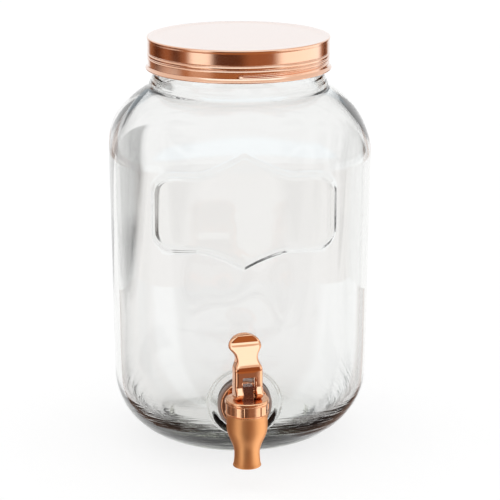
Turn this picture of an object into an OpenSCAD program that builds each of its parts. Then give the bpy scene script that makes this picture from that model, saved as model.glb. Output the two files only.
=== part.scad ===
// Glass dispenser jar with a screw lid and a lever tap.
// The jar stands on the plane z = 0 with its axis on Z. The tap points to -Y.

/* [Glass jar] */
// Width across the flat sides at the shoulder line, where the jar is widest
jar_w = 210; // [190:1:230]
// Width across the flat sides at the top of the heel
heel_w = 204.6; // [186:0.2:210]
// Height of the widest section
shoulder_z = 241.5; // [225:0.5:265]
// How square the wall's section is, as the exponent of a superellipse
squareness = 3.4; // [2.6:0.1:4.4]
// How far inside the foot's edge the heel's curve would meet the ground
heel_in = 6.4; // [4:0.1:9]
// Height of the rounded heel
heel_h = 59.5; // [54:0.5:66]
// Height at which the round foot has turned into the squarish wall
square_z = 90; // [75:1:120]
// Horizontal half axis of the shoulder's ellipse
shoulder_rx = 77.8; // [70:0.1:90]
// Vertical half axis of the shoulder's ellipse
shoulder_rz = 59.8; // [50:0.1:70]
// Thickness of the side wall
wall = 5; // [4:0.1:6]
// Thickness of the floor
floor_t = 8; // [6:0.5:11]
// Outer diameter of the foot ring
foot_d = 114; // [106:1:120]
// Width of the foot ring
foot_ring_w = 8; // [5:0.5:12]
// Height by which the foot ring stands below the base
foot_ring_h = 0.5; // [0.3:0.1:1]
// Depth of the domed hollow under the base
push_up = 3; // [1:0.5:4]

/* [Jar neck] */
// Outer diameter of the neck
neck_d = 138; // [130:1:144]
// Height of the neck from the shoulder to the rim
neck_h = 35.5; // [33:0.5:42]
// Wall thickness of the neck
neck_wall = 4.5; // [3.5:0.1:6]
// Rounding of the rim
rim_round = 1.6; // [0.8:0.1:2]

/* [Screw thread] */
// Rise of the thread in one turn
lead = 6; // [5:0.5:8]
// How far the glass thread bead stands out of the neck
bead_out = 2.3; // [1.8:0.1:2.5]
// Half height of the glass thread bead at its foot
bead_half = 1.5; // [1.2:0.1:1.6]
// How far the lid's rolled thread reaches in from its side
roll_in = 2.4; // [2:0.1:2.7]
// Half height of the rolled thread at its foot
roll_half = 1.4; // [1.1:0.1:1.5]
// Vertical distance from the rolled thread up to the glass thread
thread_offset = 2.1; // [1.9:0.1:2.6]
// Angle that the glass thread covers
bead_turn = 345; // [270:5:350]
// Angle that the lid's rolled thread covers
roll_turn = 215; // [180:5:220]

/* [Lid] */
// Height of the lid
lid_h = 25.5; // [24:0.5:30]
// Thickness of the lid's sheet metal
sheet = 0.8; // [0.6:0.1:1]
// Gap between the neck and the inside of the lid's side
lid_gap = 3.45; // [3.2:0.05:4]
// Rounding of the lid's top edge
lid_round = 1.3; // [0.8:0.1:2]
// How far the rolled hem stands out at the lid's lower edge
hem_out = 1.55; // [1:0.05:2]
// Height of the ring bead's middle above the lid's lower edge
ring_z = 11.4; // [10.5:0.1:12.5]
// Height of the rolled thread's start above the lid's lower edge
roll_z = 5.3; // [4.5:0.1:6]
// Thickness of the sealing ring
seal_t = 2.1; // [1.5:0.1:3]
// Inner diameter of the sealing ring
seal_bore_d = 122; // [110:1:126]

/* [Tap mounting] */
// Height of the tap's shank above the table
tap_z = 55; // [50:0.5:60]
// Diameter of the flat round boss on the glass
boss_d = 56.4; // [50:0.2:60]
// How far the boss stands out of the wall at its middle
boss_out = 1.2; // [0.8:0.1:2.5]
// Diameter of the hole through the glass
glass_hole_d = 17; // [16.4:0.1:20]
// Diameter of the shank
shank_d = 16; // [14:0.5:16]
// Length of the shank past the inner face of the glass
shank_past = 16; // [13.5:0.5:18]
// Diameter of the waterway through the shank
port_d = 10; // [6:0.5:11]
// Diameter of the outer sealing washer
outer_washer_d = 42; // [38:0.5:46]
// Thickness of the outer sealing washer
outer_washer_t = 2; // [1.5:0.1:3]
// Diameter of the inner sealing washer
inner_washer_d = 42; // [36:0.5:44]
// Thickness of the inner sealing washer
inner_washer_t = 2.5; // [1.5:0.1:3]
// Diameter of the metal clamp washer
clamp_washer_d = 30; // [26:0.5:36]
// Thickness of the metal clamp washer
clamp_washer_t = 1.2; // [0.8:0.1:2]
// Width of the shank nut across its flats
nut_flats = 24; // [22:0.5:28]
// Thickness of the shank nut
nut_t = 6; // [5:0.5:8]
// Diameter of the tap's flange
flange_d = 37.5; // [32:0.5:40]
// Thickness of the tap's flange
flange_t = 2.6; // [2:0.1:4]

/* [Tap body] */
// Distance from the face of the glass boss to the barrel's axis
tap_reach = 39.5; // [36:0.5:48]
// Outer diameter of the barrel
barrel_d = 31.8; // [30:0.2:36]
// Height of the barrel's shoulder, under the cap, above the shank's axis
barrel_up = 6; // [5.5:0.1:8]
// Depth of the outlet below the shank's axis
outlet_down = 36.7; // [34:0.5:42]
// Outer diameter of the nozzle at its waist
waist_d = 19.7; // [18.6:0.1:22]
// Outer diameter of the nozzle at its mouth
mouth_d = 21.7; // [20:0.1:26]
// Height of the waist above the outlet
waist_up = 10.7; // [8:0.1:13]
// Height of the barrel's straight part's lower end above the outlet
barrel_low = 32; // [29:0.5:34]
// Diameter of the chamber
chamber_d = 24; // [22:0.1:24.6]
// Height of the chamber's floor above the outlet
chamber_low = 29; // [28:0.5:30]
// Height of the conical valve seat
seat_h = 7; // [6:0.1:8]
// Diameter of the outlet bore
outlet_bore_d = 15; // [13:0.1:15.4]
// Length of the barrel's threaded top
top_thread_l = 6.2; // [5.5:0.1:7]
// Diameter of the barrel's threaded top
top_thread_d = 28.6; // [28:0.1:29]

/* [Tap cap] */
// Diameter across the cap's grip lugs
lug_d = 33; // [32.6:0.1:34]
// Diameter of the cap between its grip lugs
cap_d = 32; // [31:0.1:32.5]
// Number of grip lugs
lug_count = 5; // [4:1:12]
// Place of the first grip lug round the cap, from the right
lug_place = 32.5; // [0:0.5:90]
// Height of the lugged band
lug_h = 8.2; // [7:0.1:9]
// Diameter of the groove above the lugged band
cap_groove_d = 30.6; // [29.8:0.1:31]
// Height of the groove
cap_groove_h = 0.8; // [0.5:0.1:1]
// Diameter of the disc on top of the cap
disc_d = 33.3; // [32.6:0.1:36]
// Thickness of the disc
disc_t = 2.2; // [1.8:0.1:3]
// Thickness of the cap's flat gasket
gasket_t = 1; // [0.8:0.1:1.2]
// Thickness of the washer between the spring and the O-ring
gland_washer_t = 0.8; // [0.6:0.1:1]
// Thickness of the O-ring
oring_t = 2; // [1.8:0.1:2.2]

/* [Valve] */
// Diameter of the valve stem
stem_d = 6; // [5:0.1:6.6]
// Lift of the seat cup with the lever fully down
lift = 4.5; // [3:0.1:5]
// Height of the seat cup
cup_h = 11; // [10:0.5:11.5]
// Diameter of the spring, wire middle to wire middle
spring_d = 14; // [12:0.5:16]
// Diameter of the spring's wire
wire_d = 1.1; // [0.9:0.1:1.3]
// Number of turns of the spring
spring_turns = 5; // [4:1:5]

/* [Lever] */
// Turn of the lever about the barrel's axis, as it stands
handle_turn = 14; // [0:1:30]
// Height of the pivot above the cap
pivot_up = 5.3; // [5:0.1:6]
// Tilt of the lever from closed to fully open
tilt_max = 75; // [60:5:80]
// Diameter of the pivot pin
pin_d = 4; // [3:0.1:4.2]
// Width of the lever's fork
fork_w = 22.2; // [20:0.2:24]
// Width of the gap between the fork's legs
fork_gap = 11; // [10:0.2:12]
// Width of the lever at its waist
lever_waist_w = 17.3; // [15:0.1:19]
// Width of the lever's head
head_w = 26; // [23:0.2:29]
// Height of the window's top edge above the pivot
window_up = 15.5; // [14:0.5:16.5]
// Height of the waist above the pivot
lever_waist_up = 26.5; // [25:0.5:28]
// Height of the head's widest line above the pivot
head_up = 35.3; // [34:0.1:38]
// Height of the lever's tip above the pivot
tip_up = 44.6; // [43:0.1:48]
// Width of the stem's head
stem_head_w = 8; // [7:0.1:9]
// Depth of the stem's head
stem_head_depth = 8; // [7:0.1:9]
// Height of the stem's head above the pivot
stem_head_up = 5.5; // [5:0.1:6]

/* [Fits] */
// Clearance around turning and sliding shafts
run_gap = 0.05; // [0.03:0.01:0.1]
// Clearance in the thread of the cap on the barrel
cap_thread_gap = 0.15; // [0.1:0.05:0.3]
// Clearance between moving faces that stay apart
face_gap = 0.3; // [0.2:0.05:0.5]

/* [Hidden] */
$fn = 96;
eps = 0.01;

copper = "#c07a4a";
satin_copper = "#b8733f";
clear_glass = [0.86, 0.88, 0.88, 0.45];
grey_silicone = "#a89c96";
steel = "#b9bcc0";

// Jar
section_points = 48;
top_half = jar_w / 2;
heel_half = heel_w / 2;
neck_r = neck_d / 2;
neck_bore_r = neck_r - neck_wall;
shoulder_end = acos(1 - (top_half - neck_r) / shoulder_rx);
neck_z = shoulder_z + shoulder_rz * sin(shoulder_end);
inner_end = acos(1 - (top_half - wall - neck_bore_r) / (shoulder_rx - wall));
inner_neck_z = shoulder_z + (shoulder_rz - wall) * sin(inner_end);
past_neck = 1.5;
rim_z = neck_z + neck_h;
foot_r = foot_d / 2;
heel_reach = heel_half - (foot_r - heel_in);

// Tap mounting, measured along -Y from the jar's axis
boss_y = -(heel_half + boss_out);
glass_in_y = -(heel_half - wall);
barrel_y = boss_y - tap_reach;
flange_y = boss_y - outer_washer_t;
shank_end_y = glass_in_y + shank_past;
clamp_y = glass_in_y + inner_washer_t;
nut_y = clamp_y + clamp_washer_t;
shank_r = shank_d / 2;

// Lid
seal_gap = 0.1;
lid_in_z = rim_z + seal_gap + seal_t + seal_gap;
lid_top_z = lid_in_z + sheet;
lid_low_z = lid_top_z - lid_h;
lid_in_r = neck_r + lid_gap;
lid_r = lid_in_r + sheet;
roll_start_z = lid_low_z + roll_z;
roll_start_angle = -93;
bead_start_angle = roll_start_angle - 60;
thread_step = 5;
thread_fade = 20;

// Tap heights
barrel_top_z = tap_z + barrel_up;
outlet_z = tap_z - outlet_down;
chamber_low_z = outlet_z + chamber_low;
seat_low_z = chamber_low_z - seat_h;
thread_top_z = barrel_top_z + top_thread_l;
cap_in_z = thread_top_z + gasket_t;
cap_low_z = barrel_top_z + face_gap;
lug_top_z = cap_low_z + lug_h;
disc_low_z = lug_top_z + cap_groove_h;
cap_top_z = disc_low_z + disc_t;
stem_r = stem_d / 2;
gland_low_z = cap_in_z - gland_washer_t;
oring_pocket_r = stem_r + oring_t + 2 * run_gap;

// Valve
seat_play = 0.15;
cup_low_z = seat_low_z + 1;
cup_top_z = cup_low_z + cup_h;
cup_r = chamber_d / 2 - 0.8;
button_r = stem_r + 1.2;
button_low_z = cup_low_z + 3.5;
button_h = 2;
spring_low_z = cup_top_z + run_gap;
spring_top_z = gland_low_z - run_gap;

// Lever
pivot_z = cap_top_z + pivot_up;
foot_h = pivot_up - face_gap;
cam_rise = lift / (tilt_max * PI / 180);
leg_front = -6.8;
leg_back = 4.4;
crease_up = 5.6;
leg_top_up = 18;
tip_front = 9;
tip_back = 12;
fork_end_up = 19;

function smooth(t) = t * t * (3 - 2 * t);
function mix(a, b, t) = a + (b - a) * t;
function signed_pow(v, p) = sign(v) * pow(abs(v), p);
function arc(cx, cy, rx, ry, a0, a1, n) =
    [for (i = [0:n]) let (a = mix(a0, a1, i / n)) [cx + rx * cos(a), cy + ry * sin(a)]];

// Exponent of the jar's section at height z, round at the foot and at the neck
function exponent(z) =
    z < square_z ? mix(2, squareness, smooth(z / square_z))
    : z > shoulder_z ? mix(squareness, 2, smooth(min(1, (z - shoulder_z) / (neck_z - shoulder_z))))
    : squareness;

// [height, half width] of the heel from height z0 up, and of the shoulder, set in by the wall t.
// The heel is a quarter of an ellipse that would touch the height f at its lowest point
function heel_line(t, f, z0, n) =
    let (start = acos((heel_h - z0) / (heel_h - f)))
    [for (i = [0:n]) let (a = mix(start, 90, i / n))
        [heel_h - (heel_h - f) * cos(a), heel_half - t - (heel_reach - t) * (1 - sin(a))]];
function shoulder_line(t, end, n) =
    [for (i = [0:n]) let (a = end * i / n)
        [shoulder_z + (shoulder_rz - t) * sin(a), top_half - t - (shoulder_rx - t) * (1 - cos(a))]];

module jar_slice(z, half) {
    power = 2 / exponent(z);
    translate([0, 0, z])
        linear_extrude(eps)
            polygon([for (i = [0:section_points - 1]) let (a = 360 * i / section_points)
                [half * signed_pow(cos(a), power), half * signed_pow(sin(a), power)]]);
}

module jar_solid(t, f, z0, end) {
    hull()
        for (p = concat(heel_line(t, f, z0, 8), shoulder_line(t, end, 8)))
            jar_slice(p[0], p[1]);
}

// Solid that follows a right-hand helix: profile is a list of [outward, upward] points,
// drawn in the order that turns from outward to upward. At both ends it fades to the radius r + sunk
module helix_band(r, z0, angle0, turn, rise, profile, step, fade, sunk) {
    n = ceil(turn / step);
    sides = len(profile);
    function size(a) = fade > 0 ? min(1, max(0.15, min(a, turn - a) / fade)) : 1;
    rings = [for (i = [0:n]) let (a = turn * i / n, s = size(a))
        for (p = profile)
            let (out = sunk + (p[0] - sunk) * s, radius = r + out)
            [radius * cos(angle0 + a), radius * sin(angle0 + a), z0 + rise * a / 360 + p[1]]];
    sides_faces = [for (i = [0:n - 1]) for (j = [0:sides - 1])
        let (a = i * sides + j, b = i * sides + (j + 1) % sides)
        each [[a, b, a + sides], [b, b + sides, a + sides]]];
    low_cap = [[for (j = [sides - 1:-1:0]) j]];
    high_cap = [[for (j = [0:sides - 1]) n * sides + j]];
    polyhedron(rings, concat(low_cap, sides_faces, high_cap), convexity = 6);
}

// Cylinder along +Y from y0 to y1, on the shank's axis
module along_shank(r, y0, y1, sides = 96) {
    translate([0, y0, tap_z])
        rotate([-90, 0, 0])
            cylinder(r = r, h = y1 - y0, $fn = sides);
}

module washer_on_shank(d, y0, t) {
    difference() {
        along_shank(d / 2, y0, y0 + t);
        along_shank(shank_r + run_gap, y0 - 1, y0 + t + 1);
    }
}

module on_barrel() {
    translate([0, barrel_y, 0])
        children();
}

// The lever, its pin and the stem, turned about the barrel's axis as they stand
module on_lever() {
    translate([0, barrel_y, 0])
        rotate([0, 0, handle_turn])
            children();
}

module neck_outside() {
    rotate_extrude()
        polygon(concat(
            [[0, neck_z - 6], [neck_r, neck_z - 6]],
            arc(neck_r - rim_round, rim_z - rim_round, rim_round, rim_round, 0, 90, 8),
            [[0, rim_z]]));
}

module neck_bore() {
    rotate_extrude()
        polygon(concat(
            [[0, inner_neck_z - 4], [neck_bore_r, inner_neck_z - 4]],
            arc(neck_bore_r + rim_round, rim_z - rim_round, rim_round, rim_round, 180, 90, 8),
            [[neck_bore_r + rim_round, rim_z + 1], [0, rim_z + 1]]));
}

module foot_ring() {
    rotate_extrude()
        translate([foot_r - foot_ring_w, 0])
            square([foot_ring_w, foot_ring_h + eps]);
}

module glass_thread() {
    crest = bead_half * 0.4;
    helix_band(neck_r, roll_start_z + thread_offset - lead / 6, bead_start_angle, bead_turn, lead,
        [[-1, -bead_half], [bead_out, -crest], [bead_out, crest], [-1, bead_half]],
        thread_step, thread_fade, -0.5);
}

module glass_jar() {
    dome_r = foot_r - foot_ring_w - 1;
    dome_sphere_r = (dome_r * dome_r + push_up * push_up) / (2 * push_up);
    color(clear_glass) {
        difference() {
            union() {
                jar_solid(0, 0, foot_ring_h, shoulder_end + past_neck);
                neck_outside();
                foot_ring();
                along_shank(boss_d / 2, boss_y, -(heel_half - heel_reach));
            }
            jar_solid(wall, floor_t, floor_t, inner_end + past_neck);
            neck_bore();
            translate([0, 0, foot_ring_h + push_up - dome_sphere_r])
                sphere(r = dome_sphere_r, $fn = 192);
            along_shank(glass_hole_d / 2, boss_y - 1, 0);
            along_shank(inner_washer_d / 2 + 1, glass_in_y, 0);
        }
        glass_thread();
    }
}

// Outer line of the lid's side from the top edge down to the hem, as offsets from its radius
function lid_side_line() =
    let (ring = lid_low_z + ring_z)
    [[0, ring + 2.3], [-0.45, ring + 1.6], [0.1, ring + 0.7], [0.1, ring - 0.7],
     [-0.45, ring - 1.6], [0, ring - 2.3]];

module lid_body() {
    hem_r = 1.1;
    rotate_extrude()
        polygon(concat(
            [[0, lid_top_z]],
            arc(lid_r - lid_round, lid_top_z - lid_round, lid_round, lid_round, 90, 0, 8),
            [for (p = lid_side_line()) [lid_r + p[0], p[1]]],
            [[lid_r, lid_low_z + 3.2], [lid_r + hem_out * 0.5, lid_low_z + 2 * hem_r + 0.2]],
            arc(lid_r + hem_out - hem_r, lid_low_z + hem_r, hem_r, hem_r, 60, -90, 8),
            [[lid_in_r, lid_low_z]],
            [for (i = [5:-1:0]) let (p = lid_side_line()[i]) [lid_in_r + min(0, p[0]), p[1]]],
            [[lid_in_r, lid_in_z], [0, lid_in_z]]));
}

module lid_shell() {
    tip = roll_half * 0.3;
    color(copper)
        difference() {
            union() {
                lid_body();
                helix_band(lid_in_r, roll_start_z, roll_start_angle, roll_turn, lead,
                    [[sheet / 2, -roll_half], [sheet / 2, roll_half], [-roll_in, tip], [-roll_in, -tip]],
                    thread_step, thread_fade, sheet / 2);
            }
            helix_band(lid_r, roll_start_z, roll_start_angle, roll_turn, lead,
                [[0.6, -1.3], [0.6, 1.3], [sheet - roll_in, 0.25], [sheet - roll_in, -0.25]],
                thread_step, thread_fade, 0.5);
        }
}

module lid_seal() {
    color(grey_silicone)
        translate([0, 0, rim_z + seal_gap])
            difference() {
                cylinder(r = lid_in_r - face_gap, h = seal_t);
                translate([0, 0, -1])
                    cylinder(d = seal_bore_d, h = seal_t + 2);
            }
}

// Outer half width of the barrel and nozzle at height h above the outlet
function barrel_r(h) =
    h >= barrel_low ? barrel_d / 2
    : h >= waist_up
        ? mix(waist_d / 2, barrel_d / 2, (1 - cos(180 * (h - waist_up) / (barrel_low - waist_up))) / 2)
    : mix(waist_d / 2, mouth_d / 2, pow((waist_up - h) / waist_up, 2));

module barrel_outside() {
    lip = 0.8;
    steps = 22;
    rotate_extrude()
        polygon(concat(
            [[0, 0]],
            arc(mouth_d / 2 - lip, lip, lip, lip, -90, 0, 4),
            [for (i = [1:steps]) let (h = lip + (barrel_low - lip) * i / steps) [barrel_r(h), h]],
            [[barrel_d / 2, barrel_top_z - outlet_z],
             [top_thread_d / 2, barrel_top_z - outlet_z],
             [top_thread_d / 2, thread_top_z - outlet_z - 0.6],
             [top_thread_d / 2 - 0.6, thread_top_z - outlet_z],
             [0, thread_top_z - outlet_z]]));
}

module barrel_inside() {
    flare = 1.4;
    rotate_extrude()
        polygon([[0, -1], [outlet_bore_d / 2 + flare, -1], [outlet_bore_d / 2 + flare, 0],
            [outlet_bore_d / 2, flare], [outlet_bore_d / 2, chamber_low - seat_h],
            [chamber_d / 2, chamber_low], [chamber_d / 2, thread_top_z - outlet_z + 1],
            [0, thread_top_z - outlet_z + 1]]);
}

// Ring grooves that stand for the shank's thread
module shank_thread() {
    pitch = 1.5;
    depth = 0.6;
    turns = floor((shank_past - inner_washer_t - clamp_washer_t - nut_t - 1) / pitch);
    translate([0, shank_end_y - 0.8, tap_z])
        rotate([90, 0, 0])
            for (i = [0:turns])
                rotate_extrude()
                    translate([shank_r, i * pitch])
                        polygon([[-depth, 0], [0.5, -0.7], [0.5, 0.7]]);
}

module tap_body() {
    neck_tube_r = shank_r;
    // The tube is relieved under the cap's band, so that the cap can turn
    relief_r = lug_d / 2 + face_gap;
    color(satin_copper)
        difference() {
            union() {
                translate([0, barrel_y, outlet_z])
                    barrel_outside();
                difference() {
                    along_shank(neck_tube_r, barrel_y, shank_end_y);
                    translate([0, barrel_y, barrel_top_z])
                        cylinder(r = relief_r, h = 2 * neck_tube_r);
                }
                along_shank(flange_d / 2, flange_y - flange_t, flange_y);
                translate([0, flange_y - flange_t, tap_z])
                    rotate([90, 0, 0])
                        cylinder(r1 = neck_tube_r + 5, r2 = neck_tube_r, h = 5);
            }
            translate([0, barrel_y, outlet_z])
                barrel_inside();
            along_shank(port_d / 2, barrel_y, shank_end_y + 1);
            shank_thread();
        }
}

module outer_washer() {
    color(grey_silicone)
        washer_on_shank(outer_washer_d, flange_y, outer_washer_t);
}

module inner_washer() {
    color(grey_silicone)
        washer_on_shank(inner_washer_d, glass_in_y, inner_washer_t);
}

module clamp_washer() {
    color(steel)
        washer_on_shank(clamp_washer_d, clamp_y, clamp_washer_t);
}

module shank_nut() {
    color(steel)
        difference() {
            along_shank(nut_flats / 2 / cos(30), nut_y, nut_y + nut_t, 6);
            along_shank(shank_r + run_gap, nut_y - 1, nut_y + nut_t + 1);
        }
}

module tap_cap() {
    lug_w = 6.6;
    edge = 0.5;
    color(copper)
        on_barrel()
            difference() {
                union() {
                    translate([0, 0, cap_low_z])
                        cylinder(d = cap_d, h = lug_h);
                    intersection() {
                        translate([0, 0, cap_low_z])
                            cylinder(d = lug_d, h = lug_h);
                        for (i = [0:lug_count - 1])
                            rotate([0, 0, lug_place + 360 * i / lug_count])
                                translate([0, -lug_w / 2, cap_low_z])
                                    cube([lug_d, lug_w, lug_h]);
                    }
                    translate([0, 0, lug_top_z - eps])
                        cylinder(d = cap_groove_d, h = cap_groove_h + 2 * eps);
                    rotate_extrude()
                        polygon([[0, disc_low_z], [disc_d / 2 - edge, disc_low_z],
                            [disc_d / 2, disc_low_z + edge], [disc_d / 2, cap_top_z - edge],
                            [disc_d / 2 - edge, cap_top_z], [0, cap_top_z]]);
                }
                translate([0, 0, cap_low_z - 1])
                    cylinder(d = top_thread_d + 2 * cap_thread_gap, h = cap_in_z - cap_low_z + 1);
                translate([0, 0, cap_in_z - eps])
                    cylinder(r = oring_pocket_r, h = oring_t + eps);
                translate([0, 0, cap_in_z])
                    cylinder(r = stem_r + run_gap, h = 20);
            }
}

module cap_gasket() {
    color(grey_silicone)
        on_barrel()
            translate([0, 0, thread_top_z])
                difference() {
                    cylinder(d = top_thread_d - 0.2, h = gasket_t);
                    translate([0, 0, -1])
                        cylinder(d = chamber_d, h = gasket_t + 2);
                }
}

module stem_oring() {
    color("#2b2b2b")
        on_barrel()
            translate([0, 0, cap_in_z + oring_t / 2])
                rotate_extrude()
                    translate([stem_r + run_gap + oring_t / 2, 0])
                        circle(d = oring_t - 0.02, $fn = 32);
}

module gland_washer() {
    color(steel)
        on_barrel()
            translate([0, 0, gland_low_z])
                difference() {
                    cylinder(d = chamber_d - 1, h = gland_washer_t);
                    translate([0, 0, -1])
                        cylinder(r = stem_r + 2 * run_gap, h = gland_washer_t + 2);
                }
}

module return_spring() {
    wire_sides = 8;
    end_z = spring_low_z + wire_d / 2;
    rise = (spring_top_z - spring_low_z - wire_d) / spring_turns;
    wire = [for (j = [0:wire_sides - 1]) let (a = 360 * j / wire_sides)
        [wire_d / 2 * cos(a), wire_d / 2 * sin(a)]];
    color(steel)
        on_barrel()
            helix_band(spring_d / 2, end_z, 0, 360 * spring_turns, rise, wire, 15, 0, 0);
}

module seat_cup() {
    seat_slope = (chamber_d - outlet_bore_d) / 2 / seat_h;
    low_r = outlet_bore_d / 2 + (cup_low_z - seat_low_z) * seat_slope - seat_play;
    shoulder_up = (cup_r - low_r) / seat_slope;
    color("#3a3a3c")
        on_barrel()
            rotate_extrude()
                polygon([[0, cup_low_z], [low_r, cup_low_z], [cup_r, cup_low_z + shoulder_up],
                    [cup_r, cup_low_z + shoulder_up + 1], [cup_r - 2, cup_top_z],
                    [stem_r + run_gap, cup_top_z],
                    [stem_r + run_gap, button_low_z + button_h + run_gap],
                    [button_r + run_gap, button_low_z + button_h + run_gap],
                    [button_r + run_gap, button_low_z - run_gap], [0, button_low_z - run_gap]]);
}

module valve_stem() {
    head_low_z = cap_top_z + face_gap;
    color("#5a3a2c")
        on_lever()
            difference() {
                union() {
                    translate([0, 0, button_low_z])
                        cylinder(r = button_r, h = button_h);
                    translate([0, 0, button_low_z])
                        cylinder(r = stem_r, h = pivot_z - button_low_z);
                    translate([-stem_head_w / 2, -stem_head_depth / 2, head_low_z])
                        cube([stem_head_w, stem_head_depth, pivot_z + stem_head_up - head_low_z]);
                }
                translate([-stem_head_w, 0, pivot_z])
                    rotate([0, 90, 0])
                        cylinder(d = pin_d + 2 * run_gap, h = 2 * stem_head_w);
            }
}

module pivot_pin() {
    color(steel)
        on_lever()
            translate([-fork_w / 2 + 0.4, 0, pivot_z])
                rotate([0, 90, 0])
                    cylinder(d = pin_d, h = fork_w - 0.8);
}

// Point of the cam under the lever's foot that touches the cap at tilt a:
// the foot's reach towards the cap grows by cam_rise for each radian of tilt
function cam_point(a) =
    let (reach = foot_h + cam_rise * a * PI / 180)
    [-reach * sin(a) - cam_rise * cos(a), -reach * cos(a) + cam_rise * sin(a)];

// Half width of the lever at height h above the pivot
function lever_half(h) =
    let (leg = fork_w / 2, slim = lever_waist_w / 2, wide = head_w / 2)
    h <= fork_end_up ? leg
    : h <= lever_waist_up ? mix(leg, slim, smooth((h - fork_end_up) / (lever_waist_up - fork_end_up)))
    : h <= head_up
        ? mix(slim, wide, (1 - cos(180 * pow((h - lever_waist_up) / (head_up - lever_waist_up), 1.35))) / 2)
    : wide * sqrt(max(0, 1 - pow((h - head_up) / (tip_up - head_up), 2)));

module lever_front() {
    low = -foot_h - 1;
    heights = concat([low], [for (i = [0:8]) mix(fork_end_up, lever_waist_up, i / 8)],
        [for (i = [1:10]) mix(lever_waist_up, head_up, i / 10)],
        [for (i = [1:9]) head_up + (tip_up - head_up) * sin(10 * i)]);
    n = len(heights) - 1;
    polygon(concat(
        [for (h = heights) [lever_half(h), h]],
        [for (i = [n:-1:0]) if (lever_half(heights[i]) > 0.001) [-lever_half(heights[i]), heights[i]]]));
}

// Side view of the lever, [depth, height] from the pivot, leaning back at the head
module lever_side() {
    front = [[leg_front, crease_up], [leg_front, leg_top_up]];
    lean = [for (i = [1:8]) let (t = i / 8)
        [mix(leg_front, tip_front, pow(t, 1.15)), mix(leg_top_up, tip_up, t)]];
    back = [for (i = [8:-1:0]) let (t = i / 8)
        [mix(leg_back - 0.6, tip_back, pow(t, 1.3)), mix(leg_top_up - 4, tip_up + 1, t)]];
    polygon(concat(
        [for (i = [15:-1:0]) cam_point(tilt_max * i / 15)],
        arc(leg_back - 3, -foot_h + 3, 3, 3, -90, 0, 6),
        [for (i = [len(back) - 1:-1:0]) back[i]],
        [for (i = [len(lean) - 1:-1:0]) lean[i]],
        [front[1], front[0]]));
}

module tap_lever() {
    color(copper)
        on_lever()
            translate([0, 0, pivot_z])
                difference() {
                    intersection() {
                        translate([0, 30, 0])
                            rotate([90, 0, 0])
                                linear_extrude(60)
                                    lever_front();
                        translate([-fork_w, 0, 0])
                            rotate([90, 0, 90])
                                linear_extrude(2 * fork_w)
                                    lever_side();
                    }
                    translate([-fork_gap / 2, -30, -foot_h - 2])
                        cube([fork_gap, 60, foot_h + 2 + window_up]);
                    translate([-fork_w, 0, 0])
                        rotate([0, 90, 0])
                            cylinder(d = pin_d, h = 2 * fork_w);
                }
}

glass_jar();
lid_shell();
lid_seal();
tap_body();
outer_washer();
inner_washer();
clamp_washer();
shank_nut();
tap_cap();
cap_gasket();
stem_oring();
gland_washer();
return_spring();
seat_cup();
valve_stem();
pivot_pin();
tap_lever();
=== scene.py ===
# %% [markdown]
# # Glass drinks jar with a screw lid and a lever tap
# The real thing is a pressed-glass jar of about nine litres on a round foot, closed by a copper-plated
# lid and emptied through a copper-plated tap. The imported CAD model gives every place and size, and the
# cells below dress it: each one makes a piece or a finish that the CAD solids leave plain.

# %% Load the frame
import math

import bmesh
import bpy
from mathutils import Matrix, Vector, kdtree


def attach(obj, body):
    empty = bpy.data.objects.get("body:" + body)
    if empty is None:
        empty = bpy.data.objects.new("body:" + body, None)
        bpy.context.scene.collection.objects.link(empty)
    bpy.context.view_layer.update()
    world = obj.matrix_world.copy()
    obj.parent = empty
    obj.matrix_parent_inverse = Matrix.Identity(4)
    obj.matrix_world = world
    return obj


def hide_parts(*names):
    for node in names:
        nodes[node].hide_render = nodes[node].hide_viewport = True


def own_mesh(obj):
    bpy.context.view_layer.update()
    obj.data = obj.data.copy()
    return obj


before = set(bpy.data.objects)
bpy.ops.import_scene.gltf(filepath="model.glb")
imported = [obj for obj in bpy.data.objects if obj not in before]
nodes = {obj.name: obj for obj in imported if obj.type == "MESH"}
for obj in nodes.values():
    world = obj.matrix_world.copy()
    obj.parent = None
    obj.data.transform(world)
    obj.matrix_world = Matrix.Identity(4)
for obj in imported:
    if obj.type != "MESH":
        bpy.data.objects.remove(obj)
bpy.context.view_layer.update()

# %% [markdown]
# ## Helpers
# All shapes are worked out in millimetres, as on a drawing, and shrunk to metres when a piece is made.
# Real edges are never quite sharp, so a line through corners can turn each corner into a small arc.

# %% Measures and small functions
MM = 0.001


def smooth(t):
    t = min(1.0, max(0.0, t))
    return t * t * (3 - 2 * t)


def mix(a, b, t):
    return a + (b - a) * t


def rounded(corners, steps=5):
    """The open line through (x, y, radius) corners, each corner turned into an arc of its radius."""
    line = []
    for i, (x, y, radius) in enumerate(corners):
        here = Vector((x, y))
        if radius == 0 or i in (0, len(corners) - 1):
            line.append((x, y))
            continue
        back = (Vector(corners[i - 1][:2]) - here).normalized()
        ahead = (Vector(corners[i + 1][:2]) - here).normalized()
        half = back.angle(ahead) / 2
        reach = radius / math.tan(half)
        start, end = here + back * reach, here + ahead * reach
        centre = here + (back + ahead).normalized() * (radius / math.sin(half))
        for s in range(steps + 1):
            spoke = (start - centre).slerp(end - centre, s / steps)
            line.append(tuple(centre + spoke))
    return line


print("a corner turned into an arc:", len(rounded([(0, 0, 0), (10, 0, 2), (10, 10, 0)])), "points")

# %% [markdown]
# ### Turning a piece
# A turned piece starts as one line of vertices, its half section, and spin carries that line round an
# axis. This is how a lathe or a round glass mould makes the form, so edges come out where the real ones
# are. The doubles at the seam and on the axis are merged before the normals are worked out.

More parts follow.
